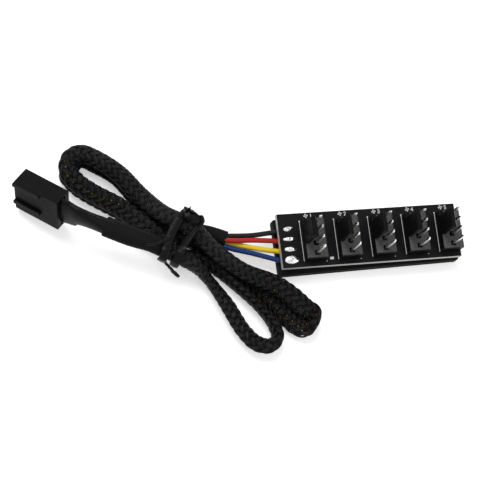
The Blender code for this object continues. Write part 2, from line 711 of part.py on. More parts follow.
def make_plug():
    """The plug's housing with ribs, cavities and windows, and its terminals."""
    frame = bpy.data.objects.new("plug_frame", None)
    MODEL.objects.link(frame)
    frame.location = PLUG_CENTRE
    frame.rotation_euler = PLUG_TURN
    nose = PLUG_LENGTH / 2
    face = PLUG_THICK / 2
    mesh = box_mesh("plug_housing", (PLUG_LENGTH, PLUG_THICK, PLUG_WIDTH))
    housing = as_object("plug_housing", mesh, MODEL, NYLON)
    housing.parent = frame
    ribs = []
    reach = TAB_WIDTH / 2 + RIB_CLEARANCE + RIB_WIDTH / 2
    for side in (-1, 1):
        size = (RIB_LENGTH, 2 * RIB_HEIGHT, RIB_WIDTH)
        ribs.append(box_mesh("rib", size, (nose - RIB_LENGTH / 2, face, TAB_CENTRE + side * reach)))
    boolean(housing, many("ribs", ribs), "UNION")
    cuts = []
    for k in range(PIN_COUNT):
        z = plug_cavity_z(k)
        depth = PLUG_LENGTH - MATING_WALL
        cuts.append(box_mesh("cavity", (2 * depth, CAVITY_HEIGHT, CAVITY_WIDTH),
                             (-nose, 0, z)))
    boolean(housing, many("cavities", cuts), "DIFFERENCE")
    fine = []
    for k in range(PIN_COUNT):
        z = plug_cavity_z(k)
        fine.append(box_mesh("entry", (4 * MATING_WALL, ENTRY_SIZE, ENTRY_SIZE), (nose, 0, z)))
        middle = nose - WINDOW_START - WINDOW_LENGTH / 2
        fine.append(box_mesh("window", (WINDOW_LENGTH, PLUG_THICK, WINDOW_WIDTH),
                             (middle, -face, z)))
    housing_cuts = many("entries_and_windows", fine)
    boolean(housing, housing_cuts, "DIFFERENCE")
    for k, (name, _, _, _) in enumerate(HUB_WIRES):
        z = plug_cavity_z(k)
        size = (TERMINAL_LENGTH, CAVITY_HEIGHT - 2 * SEAT, CAVITY_WIDTH - 2 * SEAT)
        terminal = as_object("plug_terminal_%d" % (k + 1), box_mesh("terminal", size), MODEL, TINNED)
        terminal.parent = frame
        terminal.location = (nose - MATING_WALL - SEAT - TERMINAL_LENGTH / 2, 0, z)
        bore = box_mesh("bore", (2 * TERMINAL_LENGTH, TERMINAL_BORE, TERMINAL_BORE))
        boolean(terminal, bore, "DIFFERENCE")
    bpy.context.view_layer.update()
    to_world = Matrix.LocRotScale(PLUG_CENTRE, frame.rotation_euler.to_matrix(), None)
    for k, (name, _, _, _) in enumerate(HUB_WIRES):
        z = plug_cavity_z(k)
        path = [to_world @ Vector((x, 0, z)) for x in (WIRE_DEPTH - nose, -nose - WIRE_BARE)]
        cord("plug_wire_" + name, path, WIRE_COLOURS[name], diameter=WIRE_DIAMETER)


make_pad()
make_board()
make_headers()
make_joints()
make_hub_wires()
make_sleeve()
make_tie()
make_plug()
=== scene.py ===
import math

import bmesh
import bpy
import numpy as np
from mathutils import Matrix, Vector


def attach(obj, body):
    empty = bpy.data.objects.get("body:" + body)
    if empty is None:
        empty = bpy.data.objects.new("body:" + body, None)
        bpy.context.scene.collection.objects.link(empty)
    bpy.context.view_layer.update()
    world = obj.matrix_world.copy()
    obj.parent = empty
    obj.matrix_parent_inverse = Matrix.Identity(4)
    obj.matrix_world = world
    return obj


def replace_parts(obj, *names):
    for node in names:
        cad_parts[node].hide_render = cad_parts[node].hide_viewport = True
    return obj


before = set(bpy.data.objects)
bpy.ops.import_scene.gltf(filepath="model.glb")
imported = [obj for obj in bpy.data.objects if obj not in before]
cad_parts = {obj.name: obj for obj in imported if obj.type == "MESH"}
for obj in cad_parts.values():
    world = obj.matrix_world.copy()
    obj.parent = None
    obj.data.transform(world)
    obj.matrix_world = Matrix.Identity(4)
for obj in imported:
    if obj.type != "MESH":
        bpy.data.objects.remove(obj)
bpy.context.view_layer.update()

# Foam pad: a strip of black closed-cell foam with a sticky back, die-cut with
# rounded corners. It is stuck on by hand under the board, a little askew.

PAD_EDGE_ROUND = 0.00025
PAD_COLOUR = (0.008, 0.008, 0.0085)
WELD_DISTANCE = 0.000002
FLAT_ANGLE = math.radians(2)
ROUNDED_ABOVE = math.radians(25)
SHARP_ABOVE = math.radians(20)


def put_in_scene(name, mesh):
    """Shows a mesh as a piece that belongs to the one rigid body."""
    piece = bpy.data.objects.new(name, mesh)
    bpy.context.scene.collection.objects.link(piece)
    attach(piece, "root")
    return piece


def eased_copy(node, name, edge_round, segments=2):
    """A copy of a moulded or cut solid with its sharp edges broken."""
    shell = bmesh.new()
    shell.from_mesh(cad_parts[node].data)
    bmesh.ops.remove_doubles(shell, verts=shell.verts, dist=WELD_DISTANCE)
    bmesh.ops.dissolve_limit(shell, angle_limit=FLAT_ANGLE, verts=shell.verts, edges=shell.edges)
    sharp = [e for e in shell.edges if len(e.link_faces) == 2 and e.calc_face_angle(0) > ROUNDED_ABOVE]
    bmesh.ops.bevel(shell, geom=sharp, offset=edge_round, segments=segments, profile=0.5,
                    affect="EDGES", clamp_overlap=True)
    mesh = bpy.data.meshes.new(name)
    shell.to_mesh(mesh)
    shell.free()
    mesh.shade_smooth()
    mesh.set_sharp_from_angle(angle=SHARP_ABOVE)
    piece = put_in_scene(name, mesh)
    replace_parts(piece, node)
    return piece


def surface(name, colour, roughness, metallic=0.0, mottle=0.15, mottle_size=0.0015,
            grain=0.15, grain_size=0.00012, grain_depth=0.00001, streak=(1, 1, 1), shine=0.5):
    """A finish whose colour and gloss drift a little and whose face has a fine grain."""
    made = bpy.data.materials.new(name)
    made.use_nodes = True
    nodes, links = made.node_tree.nodes, made.node_tree.links
    shader = nodes["Principled BSDF"]
    shader.inputs["Metallic"].default_value = metallic
    shader.inputs["Specular IOR Level"].default_value = shine
    place = nodes.new("ShaderNodeTexCoord")
    stretch = nodes.new("ShaderNodeMapping")
    stretch.inputs["Scale"].default_value = streak
    links.new(place.outputs["Object"], stretch.inputs["Vector"])
    drift = nodes.new("ShaderNodeTexNoise")
    drift.inputs["Scale"].default_value = 1 / mottle_size
    drift.inputs["Detail"].default_value = 5
    links.new(stretch.outputs["Vector"], drift.inputs["Vector"])
    tint = nodes.new("ShaderNodeMix")
    tint.data_type = "RGBA"
    tint.inputs["A"].default_value = (*[c * (1 - mottle) for c in colour], 1)
    tint.inputs["B"].default_value = (*[min(1, c * (1 + mottle)) for c in colour], 1)
    links.new(drift.outputs["Fac"], tint.inputs["Factor"])
    links.new(tint.outputs["Result"], shader.inputs["Base Color"])
    gloss = nodes.new("ShaderNodeMapRange")
    gloss.inputs["To Min"].default_value = max(0.02, roughness * (1 - grain))
    gloss.inputs["To Max"].default_value = min(1.0, roughness * (1 + grain))
    links.new(drift.outputs["Fac"], gloss.inputs["Value"])
    links.new(gloss.outputs["Result"], shader.inputs["Roughness"])
    fine = nodes.new("ShaderNodeTexNoise")
    fine.inputs["Scale"].default_value = 1 / grain_size
    fine.inputs["Detail"].default_value = 3
    links.new(stretch.outputs["Vector"], fine.inputs["Vector"])
    relief = nodes.new("ShaderNodeBump")
    relief.inputs["Strength"].default_value = 1.0
    relief.inputs["Distance"].default_value = grain_depth
    links.new(fine.outputs["Fac"], relief.inputs["Height"])
    links.new(relief.outputs["Normal"], shader.inputs["Normal"])
    return made


def clothe(piece, finish):
    """Gives a piece its finish in every slot."""
    if not piece.data.materials:
        piece.data.materials.append(finish)
    for slot in piece.material_slots:
        slot.material = finish


foam = surface("closed_cell_foam", PAD_COLOUR, roughness=0.85, mottle=0.35, grain_size=0.00025,
               grain_depth=0.00005, shine=0.1)
pad = eased_copy("backing_pad", "foam_pad", PAD_EDGE_ROUND)
clothe(pad, foam)

# Circuit board: a sheet of glass-fibre laminate with black solder mask on both
# faces. Its routed edges are bare and show the pale laminate all round.

BOARD_TOP = 0.0063
BOARD_EDGE = 0.00006
MASK_COLOUR = (0.004, 0.004, 0.005)
LAMINATE_COLOUR = (0.50, 0.50, 0.47)
LAMINATE_DARKEST = 0.7
LAMINATE_PALEST = 1.2
FIBRE_SIZE = 0.00025
EDGE_IS_BELOW = 0.9


def board_finish():
    """Black mask on both faces, and pale laminate on the cut edges."""
    made = surface("black_solder_mask", MASK_COLOUR, roughness=0.38, mottle=0.3, grain_size=0.0002,
                   shine=0.1)
    nodes, links = made.node_tree.nodes, made.node_tree.links
    shader = nodes["Principled BSDF"]
    mask = shader.inputs["Base Color"].links[0].from_socket
    facing = nodes.new("ShaderNodeNewGeometry")
    split = nodes.new("ShaderNodeSeparateXYZ")
    links.new(facing.outputs["True Normal"], split.inputs["Vector"])
    upright = nodes.new("ShaderNodeMath")
    upright.operation = "ABSOLUTE"
    links.new(split.outputs["Z"], upright.inputs[0])
    edge = nodes.new("ShaderNodeMath")
    edge.operation = "LESS_THAN"
    edge.inputs[1].default_value = EDGE_IS_BELOW
    links.new(upright.outputs["Value"], edge.inputs[0])
    fibre = nodes.new("ShaderNodeTexNoise")
    fibre.inputs["Scale"].default_value = 1 / FIBRE_SIZE
    laminate = nodes.new("ShaderNodeMix")
    laminate.data_type = "RGBA"
    laminate.inputs["A"].default_value = (*[c * LAMINATE_DARKEST for c in LAMINATE_COLOUR], 1)
    laminate.inputs["B"].default_value = (*[c * LAMINATE_PALEST for c in LAMINATE_COLOUR], 1)
    links.new(fibre.outputs["Fac"], laminate.inputs["Factor"])
    both = nodes.new("ShaderNodeMix")
    both.data_type = "RGBA"
    links.new(edge.outputs["Value"], both.inputs["Factor"])
    links.new(mask, both.inputs["A"])
    links.new(laminate.outputs["Result"], both.inputs["B"])
    links.new(both.outputs["Result"], shader.inputs["Base Color"])
    return made


board = eased_copy("circuit_board", "mask_and_laminate", BOARD_EDGE, 1)
clothe(board, board_finish())

# White printing: epoxy ink, screen-printed on the solder mask. Each header has a
# thin line with a dot at its head, a dot at its corner, a numeral and a small fan
# sign by its pin 1. The first one also has a small patch beside it.

INK_HEIGHT = 0.00002
INK_COLOUR = (0.55, 0.55, 0.53)
HEADER_COUNT = 5
HEADER_PITCH = 0.0093
FIRST_PIN_ROW = -0.01581
HEADER_MIDDLE_Y = -0.0002
LINE_LENGTH = 0.0105
LINE_WIDTH = 0.00015
LINE_BEFORE_PINS = 0.0028
LINE_SHIFT_Y = 0.0001
HEAD_DOT = 0.0002
HEAD_DOT_Y = 0.0055
CORNER_DOT = 0.00014
CORNER_DOT_AT = (0.0033, -0.0055)
PATCH_AT = (0.0047, -0.0048)
PATCH_SIZE = (0.0010, 0.0007)
SIGN_RADIUS = 0.0006
SIGN_X = -0.0009
SIGN_HUB = 0.2
BLADE_OUTLINE = ((0.3, 0.0), (0.65, -0.25), (1.0, -0.15), (1.0, 0.45), (0.75, 0.75), (0.35, 0.9))
MARK_Y = 0.0067
NUMERAL_SIZE = 0.001485
NUMERAL_BOLDER = 0.00003
NUMERAL_AT = (0.0001, -0.00055)


def printed(name, faces):
    """Flat shapes of ink, each a ring of points, lying on the board."""
    ink_mesh = bmesh.new()
    for ring in faces:
        ink_mesh.faces.new([ink_mesh.verts.new((x, y, BOARD_TOP + INK_HEIGHT)) for x, y in ring])
    mesh = bpy.data.meshes.new(name)
    ink_mesh.to_mesh(mesh)
    ink_mesh.free()
    return mesh


def disc(x, y, radius, sides=20):
    """A round dot of ink."""
    angles = [2 * math.pi * k / sides for k in range(sides)]
    return [(x + radius * math.cos(angle), y + radius * math.sin(angle)) for angle in angles]


def bar(x, y, width, height):
    """An upright stroke of ink."""
    return [(x - width / 2, y - height / 2), (x + width / 2, y - height / 2),
            (x + width / 2, y + height / 2), (x - width / 2, y + height / 2)]


def fan_sign(x, y):
    """Four curved blades round a hub, the plain sign for a fan."""
    blades = [disc(x, y, SIGN_RADIUS * SIGN_HUB, 12)]
    for quarter in range(4):
        start = quarter * math.pi / 2
        blade = []
        for share, turn in BLADE_OUTLINE:
            angle = start + turn
            reach = SIGN_RADIUS * share
            blade.append((x + reach * math.cos(angle), y + reach * math.sin(angle)))
        blades.append(blade)
    return blades


strokes = []
for header in range(HEADER_COUNT):
    row_x = FIRST_PIN_ROW + header * HEADER_PITCH
    line_x = row_x - LINE_BEFORE_PINS
    strokes.append(bar(line_x, HEADER_MIDDLE_Y + LINE_SHIFT_Y, LINE_WIDTH, LINE_LENGTH))
    strokes.append(disc(line_x, HEADER_MIDDLE_Y + HEAD_DOT_Y, HEAD_DOT))
    strokes.append(disc(row_x + CORNER_DOT_AT[0], HEADER_MIDDLE_Y + CORNER_DOT_AT[1], CORNER_DOT))
    strokes += fan_sign(row_x + SIGN_X, MARK_Y)
strokes.append(bar(FIRST_PIN_ROW + PATCH_AT[0], HEADER_MIDDLE_Y + PATCH_AT[1], *PATCH_SIZE))
ink = surface("white_ink", INK_COLOUR, roughness=0.6, mottle=0.08, grain_size=0.0002)
printing = put_in_scene("printed_lines", printed("printed_lines", strokes))
clothe(printing, ink)
for header in range(HEADER_COUNT):
    numeral = bpy.data.curves.new("numeral_%d" % (header + 1), "FONT")
    numeral.body = str(header + 1)
    numeral.size = NUMERAL_SIZE
    numeral.extrude = INK_HEIGHT / 2
    numeral.offset = NUMERAL_BOLDER
    drawn = bpy.data.objects.new("numeral_%d" % (header + 1), numeral)
    bpy.context.scene.collection.objects.link(drawn)
    drawn.location = (FIRST_PIN_ROW + header * HEADER_PITCH + NUMERAL_AT[0], MARK_Y + NUMERAL_AT[1],
                      BOARD_TOP + INK_HEIGHT)
    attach(drawn, "root")
    clothe(drawn, ink)

# Fan headers: black glass-filled nylon mouldings, each a base with a springy lock
# tab that catches the fan's plug. They stand in a row, soldered down by their pins.
# The base's top is duller round the pins and carries painted light there, a paler colour where it faces
# the light; beyond the tab it stays black, a painted shadow of the tab.

NYLON_COLOUR = (0.003, 0.003, 0.0034)
# Painted light: the paler colour of the lit top of each base.
LIT_TOP_PAINTED_COLOUR = (0.060, 0.060, 0.062)
BASE_TOP = 0.0098
TAB_BEFORE_PINS = 0.0016
TAB_END_Y = 0.0038
CUT_TOLERANCE = 0.000001
NYLON_EDGE = 0.00014
TOP_BAND = 0.0003
FACES_UP = 0.5

nylon = surface("moulded_black_nylon", NYLON_COLOUR, roughness=0.42, mottle=0.25, grain=0.3,
                grain_size=0.00016, grain_depth=0.000012, shine=0.06)
matt_top_painted_light = surface("matt_nylon_top_painted_light", LIT_TOP_PAINTED_COLOUR, roughness=0.55, mottle=0.6, mottle_size=0.0008,
                   grain_size=0.0002, grain_depth=0.00002, shine=0.2)
for header in range(HEADER_COUNT):
    base = eased_copy("header_%d_base" % (header + 1), "header_%d" % (header + 1), NYLON_EDGE)
    clothe(base, nylon)
    base.data.materials.append(matt_top_painted_light)
    tab_front_x = FIRST_PIN_ROW + header * HEADER_PITCH - TAB_BEFORE_PINS
    cut = bmesh.new()
    cut.from_mesh(base.data)
    for point, way in (((0, TAB_END_Y, 0), (0, 1, 0)), ((tab_front_x, 0, 0), (1, 0, 0))):
        bmesh.ops.bisect_plane(cut, geom=cut.verts[:] + cut.edges[:] + cut.faces[:], plane_co=point,
                               plane_no=way, dist=CUT_TOLERANCE)
    cut.to_mesh(base.data)
    cut.free()
    # Painted light on the top faces round the pins; the faces beside the tab keep the black nylon as
    # painted shadow of the tab.
    for face in base.data.polygons:
        in_painted_tab_shadow = face.center.y > TAB_END_Y and face.center.x < tab_front_x
        if face.normal.z > FACES_UP and abs(face.center.z - BASE_TOP) < TOP_BAND and not in_painted_tab_shadow:
            face.material_index = 1

# Header pins: square brass wire, tinned bright and tapered at the tip. Each is
# pressed through its base and soldered on the far side of the board.

PIN_COUNT = 4
TIN_COLOUR = (0.80, 0.78, 0.74)

tin = surface("bright_tin_plate", TIN_COLOUR, roughness=0.28, metallic=1.0, mottle=0.08, grain=0.35,
              mottle_size=0.0008, grain_size=0.0001, grain_depth=0.000004, streak=(1, 1, 0.2))
for header in range(HEADER_COUNT):
    for pin in range(PIN_COUNT):
        clothe(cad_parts["header_%d_pin_%d" % (header + 1, pin + 1)], tin)

# Wire solder joints: four low domes of bright solder over tinned oblong pads, where
# the wires' bared ends come up through the board. Each wire's tip is a small peak.

WIRE_NAMES = ("black", "red", "yellow", "blue")
JOINT_X = -0.0218
JOINT_Y = (0.0035, 0.0008, -0.0019, -0.0047)
DOME_HALF = ((0.00130, 0.00068), (0.00165, 0.00062), (0.00165, 0.00068), (0.00190, 0.00108))
DOME_HEIGHT = 0.0006
DOME_LIFT = 0.00003
DOME_RINGS = 14
DOME_SIDES = 36
DOME_WELD = 0.0000005
DOME_WOBBLE = (0.03, 0.02)
DOME_PROFILE = (2.2, 0.75)
DOME_BODY = 0.8
DOME_UNEVEN = 0.06
WIRE_PEAK = {"height": 0.20, "width": 0.12}
PEAK_MOAT = {"depth": 0.25, "reach": 0.28, "width": 0.10}
SOLDER_COLOUR = (0.82, 0.82, 0.81)

solder = surface("bright_solder", SOLDER_COLOUR, roughness=0.16, metallic=1.0, mottle=0.45, grain=0.5,
                 mottle_size=0.0007, grain_size=0.0005, grain_depth=0.00008)
for index, wire_name in enumerate(WIRE_NAMES):
    dome = bmesh.new()
    rows = []
    for ring in range(DOME_RINGS + 1):
        reach = 1 - ring / DOME_RINGS
        row = []
        for side in range(DOME_SIDES):
            angle = 2 * math.pi * side / DOME_SIDES
            wobble = (1 + DOME_WOBBLE[0] * math.sin(2 * angle + index * 1.7)
                      + DOME_WOBBLE[1] * math.sin(5 * angle + index))
            peak = WIRE_PEAK["height"] * math.exp(-(reach / WIRE_PEAK["width"]) ** 2)
            moat_share = (reach - PEAK_MOAT["reach"]) / PEAK_MOAT["width"]
            moat = PEAK_MOAT["depth"] * math.exp(-moat_share ** 2)
            rise = (1 - reach ** DOME_PROFILE[0]) ** DOME_PROFILE[1] * DOME_BODY + (peak - moat)
            uneven = 1 + DOME_UNEVEN * math.sin(3 * angle + index * 2)
            row.append(dome.verts.new((DOME_HALF[index][0] * reach * wobble * math.cos(angle),
                                       DOME_HALF[index][1] * reach * wobble * math.sin(angle),
                                       DOME_HEIGHT * rise * uneven)))
        rows.append(row)
    for low, high in zip(rows, rows[1:]):
        for side in range(DOME_SIDES):
            after = (side + 1) % DOME_SIDES
            dome.faces.new((low[side], low[after], high[after], high[side]))
    bmesh.ops.remove_doubles(dome, verts=dome.verts, dist=DOME_WELD)
    dome_mesh = bpy.data.meshes.new("solder_dome_" + wire_name)
    dome.to_mesh(dome_mesh)
    dome.free()
    dome_mesh.shade_smooth()
    dome_mesh.transform(Matrix.Translation((JOINT_X, JOINT_Y[index], BOARD_TOP + DOME_LIFT)))
    joint = put_in_scene("solder_dome_" + wire_name, dome_mesh)
    clothe(joint, solder)
    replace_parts(joint, "solder_joint_" + wire_name)

# Hub wires: four stranded copper wires in glossy coloured PVC. They leave the shrink
# tubing in a bunch, fan out and run in under the board to their joints.

WIRE_DIAMETER = 0.00135
WIRE_COLOURS = {"black": (0.006, 0.006, 0.006), "red": (0.34, 0.015, 0.012),
                "yellow": (0.67, 0.47, 0.020), "blue": (0.008, 0.030, 0.130)}
INSULATION_COAT = 0.1
WIRE_STEP = 0.0003
WIRE_ROUNDNESS = 20
TUBE_SHARP_ABOVE = math.radians(50)
HUB_WIRE_POINTS = {
    "black": [(-40.5, 3.6, 4.1), (-37.2, 3.25, 4.0), (-31.0, 3.0, 4.0),
              (-25.65, 3.4, 3.8), (-24.05, 3.4, 3.8), (-22.4, 3.4, 3.8)],
    "red": [(-40.5, 3.2, 4.3), (-37.8, 1.95, 4.75), (-31.0, 1.6, 4.3),
            (-25.65, 1.2, 3.8), (-24.05, 0.95, 3.8), (-22.4, 0.7, 3.8)],
    "yellow": [(-40.6, 2.9, 3.4), (-38.0, 1.85, 3.2), (-31.0, -0.3, 3.7),
               (-25.65, -1.5, 3.8), (-24.05, -1.75, 3.8), (-22.4, -2.0, 3.8)],
    "blue": [(-40.8, 2.5, 3.9), (-38.5, 0.6, 3.8), (-31.0, -1.9, 3.9),
             (-25.65, -3.7, 3.8), (-24.05, -4.2, 3.8), (-22.4, -4.7, 3.8)],
}


def smooth_path(points, steps=12):
    """A smooth curve through chosen points, sampled evenly between each two."""
    knots = np.array(points, float)
    knots = np.vstack([2 * knots[0] - knots[1], knots, 2 * knots[-1] - knots[-2]])
    path = []
    for a, b, c, d in zip(knots, knots[1:], knots[2:], knots[3:]):
        t1 = math.sqrt(np.linalg.norm((b - a)[:3]))
        t2 = t1 + math.sqrt(np.linalg.norm((c - b)[:3]))
        t3 = t2 + math.sqrt(np.linalg.norm((d - c)[:3]))
        for k in range(steps):
            t = t1 + (t2 - t1) * k / steps
            ab = a * ((t1 - t) / t1) + b * (t / t1)
            bc = b * ((t2 - t) / (t2 - t1)) + c * ((t - t1) / (t2 - t1))
            cd = c * ((t3 - t) / (t3 - t2)) + d * ((t - t2) / (t3 - t2))
            first = ab * ((t2 - t) / t2) + bc * (t / t2)
            second = bc * ((t3 - t) / (t3 - t1)) + cd * ((t - t1) / (t3 - t1))
            path.append(first * ((t2 - t) / (t2 - t1)) + second * ((t - t1) / (t2 - t1)))
    path.append(knots[-2])
    return np.array(path)


def in_metres(points):
    """Chosen points in millimetres, any roll and scale after them left alone."""
    scaled = np.array(points, float)
    scaled[:, :3] /= 1000
    return scaled


def resampled(path, step):
    """The same path with evenly spaced points."""
    walked = np.r_[0, np.cumsum(np.linalg.norm(np.diff(path[:, :3], axis=0), axis=1))]
    count = max(2, int(round(walked[-1] / step)) + 1)
    at = np.linspace(0, walked[-1], count)
    return np.column_stack([np.interp(at, walked, path[:, k]) for k in range(path.shape[1])])


def ring_frames(path):
    """Wide axis and thin axis at each point of a rolled path."""
    tangent = np.gradient(path[:, :3], axis=0)
    tangent /= np.linalg.norm(tangent, axis=1)[:, None]
    level = np.cross(tangent, (0, 0, 1))
    level /= np.linalg.norm(level, axis=1)[:, None]
    upward = np.cross(level, tangent)
    roll = np.radians(path[:, 3])[:, None]
    wide = level * np.cos(roll) + upward * np.sin(roll)
    thin = -level * np.sin(roll) + upward * np.cos(roll)
    return wide, thin


def tube_mesh(name, path, half_wide, half_thin, sides):
    """A closed tube of oval rings along a path; the half sizes may vary along it."""
    wide, thin = ring_frames(path)
    angles = np.linspace(0, 2 * math.pi, sides, endpoint=False)
    half_wide = np.broadcast_to(half_wide, len(path))[:, None, None]
    half_thin = np.broadcast_to(half_thin, len(path))[:, None, None]
    rings = (path[:, None, :3] + wide[:, None] * np.cos(angles)[None, :, None] * half_wide
             + thin[:, None] * np.sin(angles)[None, :, None] * half_thin)
    verts = [tuple(v) for v in rings.reshape(-1, 3)]
    faces = []
    for k in range(len(path) - 1):
        for side in range(sides):
            after = (side + 1) % sides
            low = k * sides
            faces.append((low + side, low + after, low + sides + after, low + sides + side))
    faces.append(tuple(range(sides - 1, -1, -1)))
    last = (len(path) - 1) * sides
    faces.append(tuple(range(last, last + sides)))
    mesh = bpy.data.meshes.new(name)
    mesh.from_pydata(verts, [], faces)
    mesh.shade_smooth()
    mesh.set_sharp_from_angle(angle=TUBE_SHARP_ABOVE)
    return mesh


def wire_piece(name, path, colour_name, radius=WIRE_DIAMETER / 2, sides=WIRE_ROUNDNESS):
    """One insulated wire along a path."""
    flat = np.column_stack([path[:, :3], np.zeros(len(path)), np.ones(len(path))])
    wire = put_in_scene(name, tube_mesh(name, flat, radius, radius, sides))
    clothe(wire, wire_finish[colour_name])
    return wire


wire_finish = {}
for colour_name, colour in WIRE_COLOURS.items():
    insulation = surface(colour_name + "_insulation", colour, roughness=0.30, mottle=0.10,
                         mottle_size=0.004, grain_size=0.0004, grain_depth=0.000006, shine=0.15)
    insulation.node_tree.nodes["Principled BSDF"].inputs["Coat Weight"].default_value = INSULATION_COAT
    wire_finish[colour_name] = insulation
for wire_name in WIRE_NAMES:
    run = resampled(smooth_path(in_metres(HUB_WIRE_POINTS[wire_name])), WIRE_STEP)
    wire = wire_piece("lead_wire_" + wire_name, run, wire_name)
    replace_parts(wire, "hub_wire_" + wire_name)

# Route of the sleeve: the lead is folded into two loops by the plug and two by the
# board and tied across the middle, so the sleeve passes through the tie five times.

SLEEVE_WIDTH = 0.0051
SLEEVE_THICK = 0.0030
HUB_SHRINK_LENGTH = 0.0085
PLUG_SHRINK_LENGTH = 0.0142
WIRE_SHRINK_LENGTH = 0.0108
NO_CLOSER = 0.00001
ROUTE = [
    (-38.1, 2.2, 3.9, 20, 0.85), (-42.9, 4.2, 3.9, 45, 0.87), (-47.6, 5.9, 3.9, 85, 0.93),
    (-53.5, 10.2, 3.1, 68, 1.0), (-58.8, 14.7, 2.0, 23, 1.0), (-63.8, 21.2, 1.75, 0, 1.0),
    (-69.0, 24.9, 1.75, 0, 1.0), (-72.9, 26.8, 1.75, 0, 1.0), (-75.8, 25.0, 1.75, 0, 1.0),
    (-76.5, 22.4, 1.75, 0, 1.0), (-74.7, 19.7, 1.75, -8, 1.0), (-71.0, 16.7, 1.75, 0, 1.0),
    (-64.5, 12.4, 1.75, 8, 1.0), (-57.1, 7.4, 2.3, -22, 1.0), (-49.7, 3.2, 3.9, -80, 0.95),
    (-40.6, -1.1, 2.9, -70, 1.0), (-35.2, -5.6, 2.0, -33, 1.0), (-30.3, -10.2, 1.75, -8, 1.0),
    (-26.1, -15.3, 1.8, -15, 1.0), (-22.9, -19.9, 2.1, -9, 1.08), (-20.6, -21.8, 2.7, -15, 1.1),
    (-18.2, -21.1, 3.0, 60, 1.1), (-17.3, -18.9, 3.4, 60, 1.1), (-19.5, -17.4, 4.4, 17, 1.1),
    (-22.7, -14.2, 5.2, 24, 1.06), (-27.0, -10.6, 5.3, 10, 1.0), (-34.8, -6.7, 5.7, -19, 1.0),
    (-41.6, -1.5, 7.3, -22, 1.0), (-48.1, 5.4, 8.3, -8, 0.95), (-54.4, 9.5, 7.2, -8, 1.0),
    (-59.3, 14.9, 5.6, 0, 1.0), (-64.1, 21.2, 5.15, -8, 1.0), (-69.5, 25.5, 5.15, -14, 1.0),
    (-73.3, 27.0, 5.15, 0, 1.0), (-76.2, 25.6, 5.15, 17, 1.0), (-76.8, 22.6, 5.15, -6, 1.0),
    (-75.1, 19.6, 5.15, -14, 1.0), (-71.3, 16.5, 5.15, -28, 1.0), (-64.5, 12.1, 5.15, -22, 1.0),
    (-58.1, 6.1, 5.3, -25, 1.0), (-51.7, 0.3, 3.9, -93, 0.95), (-46.5, -1.6, 3.2, -79, 1.0),
    (-42.2, -4.0, 2.75, -72, 1.0), (-36.1, -10.0, 2.75, -92, 1.0), (-30.5, -16.4, 2.75, -96, 1.0),
    (-27.7, -21.1, 2.75, -79, 1.0), (-27.4, -24.2, 2.75, -76, 1.0), (-29.7, -25.9, 2.75, -42, 1.0),
    (-32.9, -25.1, 2.75, -28, 1.0), (-35.9, -21.7, 2.75, -31, 1.0), (-39.8, -13.8, 2.75, -39, 1.0),
    (-44.2, -6.8, 3.1, -85, 1.0), (-47.8, -4.1, 6.4, -121, 0.92), (-57.3, 1.1, 8.9, -180, 0.88),
    (-63.8, 3.7, 9.4, -174, 0.93), (-70.9, 7.0, 10.0, -177, 0.95), (-76.3, 9.2, 10.87, -188, 0.93),
    (-78.0, 10.3, 9.99, -195, 0.93),
]


def between(path, start, end):
    """The part of a path between two distances along it."""
    walked = np.r_[0, np.cumsum(np.linalg.norm(np.diff(path[:, :3], axis=0), axis=1))]
    inside = (walked > start + NO_CLOSER) & (walked < end - NO_CLOSER)
    at = np.r_[start, walked[inside], end]
    return np.column_stack([np.interp(at, walked, path[:, k]) for k in range(path.shape[1])])


route = smooth_path(in_metres(ROUTE))
route_length = float(np.linalg.norm(np.diff(route[:, :3], axis=0), axis=1).sum())
sleeve_end = route_length - WIRE_SHRINK_LENGTH - PLUG_SHRINK_LENGTH
wire_shrink_start = route_length - WIRE_SHRINK_LENGTH

# Heat-shrink tubing: black polyolefin tube, shrunk with hot air over the sleeve's
# cut ends and over the wires by the plug, where it spreads as they fan out. Faint
# creases run round it.

SHRINK_WALL = 0.00022
WIRE_SHRINK_WIDTH = 0.0047
WIRE_SHRINK_THICK = 0.0033
FLARE_WIDTH = 0.0099
FLARE_THICK = 0.0028
PLUG_MOUTH = (-79.9, 11.4, 9.4, -195, 0.93)
SHRINK_STEP = 0.00018
SHRINK_ROUNDNESS = 48
SLEEVE_TUBE_OVER = 0.0014
WIRE_TUBE_UNDER = 0.0015
SHRINK_ENDS = (0.93, 0.985)
HUB_CREASE = 0.006
PLUG_CREASE = 0.008
CREASES = (5200, 2900)
SHRINK_COLOUR = (0.004, 0.004, 0.0045)

shrink = surface("shrunk_black_tubing", SHRINK_COLOUR, roughness=0.40, mottle=0.2, grain=0.3,
                 mottle_size=0.003, grain_size=0.0006, grain_depth=0.00004, shine=0.08)


def shrink_piece(name, node, start, end, wide, thick, crease, flare=None):
    """A length of shrunk tubing over the route, with faint creases round it."""
    run = between(route, start, end)
    if flare:
        run = np.vstack([run, in_metres([PLUG_MOUTH])])
    run = resampled(run, SHRINK_STEP)
    steps = np.arange(len(run)) * SHRINK_STEP
    fullness = np.ones(len(run))
    fullness[0] = fullness[-1] = SHRINK_ENDS[0]
    fullness[1] = fullness[-2] = SHRINK_ENDS[1]
    waves = 1 + crease * (np.sin(steps * CREASES[0]) * 0.5 + np.sin(steps * CREASES[1] + 1.3) * 0.5)
    half_wide = wide / 2 * run[:, 4]
    half_thick = thick / 2 * run[:, 4]
    if flare:
        share = steps / steps[-1]
        half_wide = half_wide * (1 - share) + flare[0] / 2 * share
        half_thick = half_thick * (1 - share) + flare[1] / 2 * share
    mesh = tube_mesh(name, run, half_wide * fullness * waves, half_thick * fullness * waves,
                     SHRINK_ROUNDNESS)
    piece = put_in_scene(name, mesh)
    clothe(piece, shrink)
    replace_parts(piece, node)


